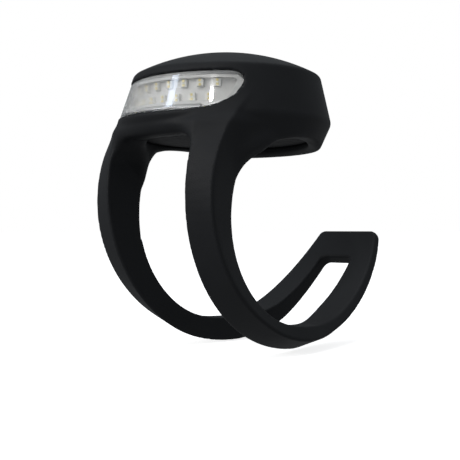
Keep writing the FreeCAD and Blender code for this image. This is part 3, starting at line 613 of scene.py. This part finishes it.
white = material("led_package", (0.84, 0.83, 0.80), (0.90, 0.89, 0.86), 0.35,
                 Subsurface_Weight=1.0, Subsurface_Scale=0.0005, Subsurface_Radius=(1.0, 1.0, 1.0))
yellow = material("phosphor", (0.84, 0.68, 0.20), (0.92, 0.78, 0.32), 0.4, Coat_Weight=1.0)
grey_plastic = material("plastic_grey", (0.05, 0.05, 0.055), (0.08, 0.08, 0.085), 0.5)

dress(silicone, rubber)
dress(clear, clear_look())

LOOKS = {
    "lens_gasket": gasket_painted_shade_grey, "reflector_tray": silver, "led_strip": strip_white, "leds": white,
    "led_phosphors": yellow, "ribbon_link": amber, "module_housing": black_plastic,
    "module_lid": black_plastic, "main_board": green, "board_screws": steel, "driver_chip": epoxy,
    "resistors": epoxy, "capacitors": tan, "switch_body": steel, "switch_plunger": epoxy,
    "push_button": grey_plastic, "positive_contact": nickel, "negative_contact": nickel,
    "cell_upper": steel, "cell_lower": steel, "cell_cushion": foam, "battery_cover": black_plastic,
    "cover_seal": seal_black}
for node, look in LOOKS.items():
    dress(nodes[node], look)


# Studio: a pale floor and world, soft lights, and the camera of the photograph

FLOOR_DROP, FLOOR_HALF = 0.05, 3000.0
AIM_Z = 12.0
WARM, COOL, SKY = (1.0, 0.99, 0.97), (0.92, 0.97, 1.0), (0.72, 0.82, 1.0)
CAMERA_PLACE = (-81.5, -78.4, -1.4)
FOCAL_PX, PHOTO_PX, SENSOR_WIDE = 818.0, 460.0, 36.0
SHIFT_X, SHIFT_Y = -0.0513, -0.0235
NEAREST = 5.0


def shown(tree):
    """One for the rays that show a surface to the camera, straight or through the clear lens."""
    path = tree.nodes.new("ShaderNodeLightPath")
    either = tree.nodes.new("ShaderNodeMath")
    either.operation = "MAXIMUM"
    tree.links.new(path.outputs["Is Camera Ray"], either.inputs[0])
    tree.links.new(path.outputs["Is Transmission Ray"], either.inputs[1])
    return either.outputs[0]


def pale_look(name, glow, cast):
    """A pale stage surface that glows for the camera, and is a dim grey where the object mirrors it."""
    made = bpy.data.materials.new(name)
    made.use_nodes = True
    tree = made.node_tree
    out = tree.nodes["Material Output"]
    shader = tree.nodes["Principled BSDF"]
    shader.inputs["Base Color"].default_value = (0.9, 0.9, 0.9, 1)
    shader.inputs["Roughness"].default_value = 0.9
    shader.inputs["Emission Color"].default_value = (1, 1, 1, 1)
    shader.inputs["Emission Strength"].default_value = glow
    dim = tree.nodes.new("ShaderNodeEmission")
    dim.inputs["Color"].default_value = (0.95, 0.98, 1.0, 1)
    dim.inputs["Strength"].default_value = cast
    mix = tree.nodes.new("ShaderNodeMixShader")
    tree.links.new(shown(tree), mix.inputs["Fac"])
    tree.links.new(dim.outputs[0], mix.inputs[1])
    tree.links.new(shader.outputs[0], mix.inputs[2])
    tree.links.new(mix.outputs[0], out.inputs["Surface"])
    return made


def floor():
    """The floor, just under the part."""
    wide = FLOOR_HALF * MM
    level = cad_box[0][2] - FLOOR_DROP * MM
    corners = [(-wide, -wide, level), (wide, -wide, level), (wide, wide, level), (-wide, wide, level)]
    piece = mesh_piece("studio_floor", corners, [(0, 1, 2, 3)])
    dress(piece, pale_look("studio_white", 0.82, 0.24))


def world():
    """A white world for the camera, and a dimmer one that lights the part."""
    made = bpy.data.worlds.new("studio")
    bpy.context.scene.world = made
    made.use_nodes = True
    tree = made.node_tree
    tree.nodes.clear()
    out = tree.nodes.new("ShaderNodeOutputWorld")
    soft, seen = (tree.nodes.new("ShaderNodeBackground") for _ in range(2))
    soft.inputs["Color"].default_value = (0.91, 0.96, 1.0, 1)
    soft.inputs["Strength"].default_value = 0.26
    seen.inputs["Color"].default_value = (1, 1, 1, 1)
    seen.inputs["Strength"].default_value = 1.0
    mix = tree.nodes.new("ShaderNodeMixShader")
    tree.links.new(shown(tree), mix.inputs["Fac"])
    tree.links.new(soft.outputs[0], mix.inputs[1])
    tree.links.new(seen.outputs[0], mix.inputs[2])
    tree.links.new(mix.outputs[0], out.inputs["Surface"])


def lamp(name, azimuth, elevation, distance, wide, tall, power, colour):
    """A soft panel that faces the head, placed by its bearing from it. Azimuth is measured from +X."""
    a, e = math.radians(azimuth), math.radians(elevation)
    way = Vector((math.cos(a) * math.cos(e), math.sin(a) * math.cos(e), math.sin(e)))
    data = bpy.data.lights.new(name, "AREA")
    data.shape = "RECTANGLE"
    data.size, data.size_y, data.energy, data.color = wide, tall, power, colour
    made = bpy.data.objects.new(name, data)
    made.location = Vector((HEAD_X, 0, AIM_Z)) * MM + way * distance
    made.rotation_euler = way.to_track_quat("Z", "Y").to_euler()
    bpy.context.scene.collection.objects.link(made)


def camera():
    """The camera that fits the photograph, which looks at the origin and is shifted to its frame."""
    data = bpy.data.cameras.new("camera")
    data.sensor_width = SENSOR_WIDE
    data.lens = FOCAL_PX / PHOTO_PX * SENSOR_WIDE
    data.shift_x = SHIFT_X
    data.shift_y = SHIFT_Y
    data.clip_start = NEAREST * MM
    made = bpy.data.objects.new("camera", data)
    made.location = Vector(CAMERA_PLACE) * MM
    made.rotation_euler = made.location.to_track_quat("Z", "Y").to_euler()
    bpy.context.scene.collection.objects.link(made)
    bpy.context.scene.camera = made


floor()
world()
lamp("window_light", 153.5, 40.5, 0.6, 0.07, 0.10, 0.15, SKY)
lamp("front_flash", -152.4, 45.3, 0.6, 0.03, 0.009, 0.45, WARM)
lamp("front_fill", 168.0, 20.0, 0.7, 0.60, 0.24, 1.7, WARM)
lamp("overhead", 60.0, 80.0, 0.8, 0.6, 0.6, 1.2, COOL)
camera()
bpy.context.scene.view_settings.view_transform = "Standard"
